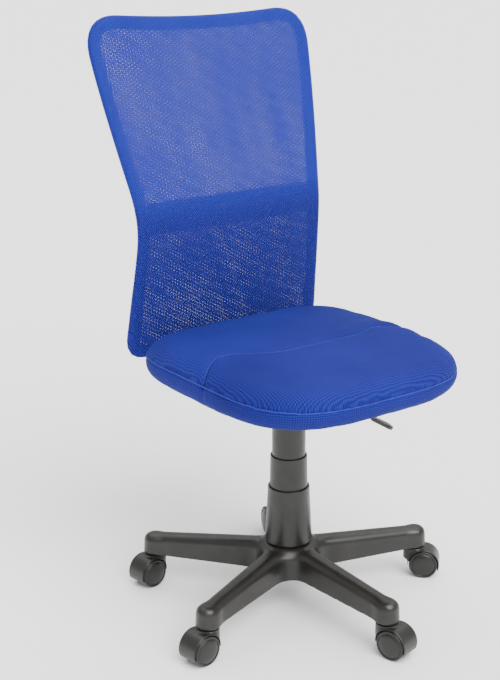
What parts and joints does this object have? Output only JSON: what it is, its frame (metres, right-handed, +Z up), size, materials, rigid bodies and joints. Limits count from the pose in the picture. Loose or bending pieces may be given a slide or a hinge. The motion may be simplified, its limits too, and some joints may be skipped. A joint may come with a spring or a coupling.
{
  "type": "swivel office chair",
  "caption": "Armless swivel office chair with a padded seat, a see-through mesh back on a waisted frame, telescopic column covers and a castor base.",
  "frame": {"origin": "on the floor, under the middle of the chair's bounding box; the column axis stands 2.7 mm to -X and 15.3 mm to +Y of it", "axes": "+Z up; the sitter faces -Y, so the back is at +Y; +X is the sitter's left, where the height lever is"},
  "size_m": [0.5499, 0.5469, 0.9691],
  "materials": {
    "charcoal_plastic": "satin moulded nylon",
    "wheel_plastic": "satin",
    "black_plastic": "matte",
    "steel": "zinc plated",
    "chromed_steel": "ground and chromed",
    "black_steel": "black powder coat",
    "plywood": "raw plywood",
    "seat_fabric": "woven mesh over foam",
    "mesh_fabric": "open knitted mesh"
  },
  "bodies": {
    "base": {"base_star": "charcoal_plastic", "outer_tube": "black_steel", "guide_bushing": "black_plastic", "lower_cover": "charcoal_plastic"},
    "rod": {"piston_rod": "chromed_steel", "rod_clip": "steel", "thrust_bearing": "steel"},
    "seat": {"gas_cylinder": "chromed_steel", "upper_cover": "charcoal_plastic", "taper_socket": "steel", "mechanism_box": "black_steel", "seat_plate": "black_steel", "plate_bolt_1": "steel", "plate_bolt_2": "steel", "plate_bolt_3": "steel", "plate_bolt_4": "steel", "seat_board": "plywood", "seat_cushion": "seat_fabric", "j_bracket": "black_steel", "bracket_seat_bolt_1": "steel", "bracket_seat_bolt_2": "steel", "bracket_back_bolt_1": "steel", "bracket_back_bolt_2": "steel", "back_frame": "black_plastic", "cross_brace": "black_plastic", "mesh_front": "mesh_fabric", "mesh_rear": "mesh_fabric"},
    "middle_cover": {"middle_cover": "charcoal_plastic"},
    "lever": {"lever_rod": "black_steel", "lever_grip": "black_plastic"},
    "release_pin": {"release_pin": "steel"},
    "castor_1": {"castor_1_stem": "steel", "castor_1_hood": "charcoal_plastic", "castor_1_axle": "steel"},
    "castor_1_wheel_left": {"castor_1_wheel_left": "wheel_plastic"},
    "castor_1_wheel_right": {"castor_1_wheel_right": "wheel_plastic"},
    "castor_2": {"castor_2_stem": "steel", "castor_2_hood": "charcoal_plastic", "castor_2_axle": "steel"},
    "castor_2_wheel_left": {"castor_2_wheel_left": "wheel_plastic"},
    "castor_2_wheel_right": {"castor_2_wheel_right": "wheel_plastic"},
    "castor_3": {"castor_3_stem": "steel", "castor_3_hood": "charcoal_plastic", "castor_3_axle": "steel"},
    "castor_3_wheel_left": {"castor_3_wheel_left": "wheel_plastic"},
    "castor_3_wheel_right": {"castor_3_wheel_right": "wheel_plastic"},
    "castor_4": {"castor_4_stem": "steel", "castor_4_hood": "charcoal_plastic", "castor_4_axle": "steel"},
    "castor_4_wheel_left": {"castor_4_wheel_left": "wheel_plastic"},
    "castor_4_wheel_right": {"castor_4_wheel_right": "wheel_plastic"},
    "castor_5": {"castor_5_stem": "steel", "castor_5_hood": "charcoal_plastic", "castor_5_axle": "steel"},
    "castor_5_wheel_left": {"castor_5_wheel_left": "wheel_plastic"},
    "castor_5_wheel_right": {"castor_5_wheel_right": "wheel_plastic"}
  },
  "joints": [
    {"name": "seat_swivel", "type": "hinge", "parent": "base", "child": "rod", "pos_m": [-0.0027, 0.0153, 0.05], "axis": [0, 0, 1], "continuous": true},
    {"name": "seat_height", "type": "slide", "parent": "rod", "child": "seat", "axis": [0, 0, 1], "range_m": [-0.065, 0.035]},
    {"name": "middle_cover_slide", "type": "slide", "parent": "base", "child": "middle_cover", "axis": [0, 0, 1], "range_m": [-0.0326, 0.0176]},
    {"name": "height_lever", "type": "hinge", "parent": "seat", "child": "lever", "pos_m": [0.0413, -0.0127, 0.3856], "axis": [-0.5369, -0.8437, 0], "range_deg": [0, 4.5], "stiffness_Nm_per_rad": 2, "springref_deg": -11.46},
    {"name": "release_press", "type": "slide", "parent": "seat", "child": "release_pin", "axis": [0, 0, -1], "range_m": [0, 0.0045]},
    {"name": "castor_1_swivel", "type": "hinge", "parent": "base", "child": "castor_1", "pos_m": [0.00861, -0.22443, 0.055], "axis": [0, 0, 1], "continuous": true},
    {"name": "castor_1_wheel_left_spin", "type": "hinge", "parent": "castor_1", "child": "castor_1_wheel_left", "pos_m": [0.01326, -0.24182, 0.025], "axis": [0.9659, 0.2588, 0], "continuous": true},
    {"name": "castor_1_wheel_right_spin", "type": "hinge", "parent": "castor_1", "child": "castor_1_wheel_right", "pos_m": [0.01326, -0.24182, 0.025], "axis": [0.9659, 0.2588, 0], "continuous": true},
    {"name": "castor_2_swivel", "type": "hinge", "parent": "base", "child": "castor_2", "pos_m": [0.22879, -0.04803, 0.055], "axis": [0, 0, 1], "continuous": true},
    {"name": "castor_2_wheel_left_spin", "type": "hinge", "parent": "castor_2", "child": "castor_2_wheel_left", "pos_m": [0.24152, -0.06076, 0.025], "axis": [0.7071, 0.7071, 0], "continuous": true},
    {"name": "castor_2_wheel_right_spin", "type": "hinge", "parent": "castor_2", "child": "castor_2_wheel_right", "pos_m": [0.24152, -0.06076, 0.025], "axis": [0.7071, 0.7071, 0], "continuous": true},
    {"name": "castor_3_swivel", "type": "hinge", "parent": "base", "child": "castor_3", "pos_m": [0.12907, 0.21589, 0.055], "axis": [0, 0, 1], "continuous": true},
    {"name": "castor_3_wheel_left_spin", "type": "hinge", "parent": "castor_3", "child": "castor_3_wheel_left", "pos_m": [0.13433, 0.23311, 0.025], "axis": [-0.9563, 0.2924, 0], "continuous": true},
    {"name": "castor_3_wheel_right_spin", "type": "hinge", "parent": "castor_3", "child": "castor_3_wheel_right", "pos_m": [0.13433, 0.23311, 0.025], "axis": [-0.9563, 0.2924, 0], "continuous": true},
    {"name": "castor_4_swivel", "type": "hinge", "parent": "base", "child": "castor_4", "pos_m": [-0.15276, 0.2026, 0.055], "axis": [0, 0, 1], "continuous": true},
    {"name": "castor_4_wheel_left_spin", "type": "hinge", "parent": "castor_4", "child": "castor_4_wheel_left", "pos_m": [-0.17058, 0.2001, 0.025], "axis": [0.1392, -0.9903, 0], "continuous": true},
    {"name": "castor_4_wheel_right_spin", "type": "hinge", "parent": "castor_4", "child": "castor_4_wheel_right", "pos_m": [-0.17058, 0.2001, 0.025], "axis": [0.1392, -0.9903, 0], "continuous": true},
    {"name": "castor_5_swivel", "type": "hinge", "parent": "base", "child": "castor_5", "pos_m": [-0.22721, -0.06953, 0.055], "axis": [0, 0, 1], "continuous": true},
    {"name": "castor_5_wheel_left_spin", "type": "hinge", "parent": "castor_5", "child": "castor_5_wheel_left", "pos_m": [-0.24503, -0.07204, 0.025], "axis": [0.1392, -0.9903, 0], "continuous": true},
    {"name": "castor_5_wheel_right_spin", "type": "hinge", "parent": "castor_5", "child": "castor_5_wheel_right", "pos_m": [-0.24503, -0.07204, 0.025], "axis": [0.1392, -0.9903, 0], "continuous": true}
  ],
  "couplings": [
    {"joint": "middle_cover_slide", "follows": "seat_height", "ratio": 0.5},
    {"joint": "release_press", "follows": "height_lever", "m_per_rad": 0.0521}
  ]
}
